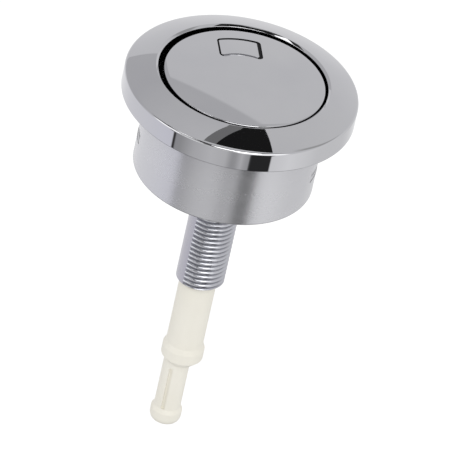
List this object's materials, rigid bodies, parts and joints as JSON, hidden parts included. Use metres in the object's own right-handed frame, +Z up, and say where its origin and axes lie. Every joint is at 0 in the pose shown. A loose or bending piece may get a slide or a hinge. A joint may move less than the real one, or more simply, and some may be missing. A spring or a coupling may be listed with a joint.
{
  "type": "push button cistern actuator",
  "caption": "Round chrome push button with a raised bezel and a skirt for the lid's hole, on a threaded stem with a plastic push rod that works a cistern's flush valve.",
  "frame": {"origin": "on the button's axis, at the underside of the flange, where the top of the lid lies", "axes": "+Z up along the button's axis, out of the lid; the snap windows lie on +X and -X"},
  "size_m": [0.055, 0.055, 0.1006],
  "materials": {
    "chrome_plate": "mirror chrome on the bezel and button, satin on the skirt",
    "zinc_plate": "bright zinc plate",
    "spring_steel": "drawn spring wire",
    "dark_plastic": "moulded, fine matt",
    "grey_plastic": "moulded, fine matt",
    "ivory_plastic": "moulded natural plastic, slightly waxy"
  },
  "bodies": {
    "housing": {"bezel_housing": "chrome_plate", "base_insert": "grey_plastic", "threaded_stem": "zinc_plate", "stem_washer": "zinc_plate", "stem_nut": "zinc_plate", "return_spring": "spring_steel"},
    "button": {"button_cap": "chrome_plate", "plunger": "dark_plastic", "push_rod": "ivory_plastic", "rod_screw": "zinc_plate"}
  },
  "joints": [
    {"name": "button_press", "type": "slide", "parent": "housing", "child": "button", "axis": [0, 0, -1], "range_m": [0, 0.006], "stiffness_N_per_m": 800, "springref_m": -0.008, "deforming": ["return_spring"]}
  ]
}
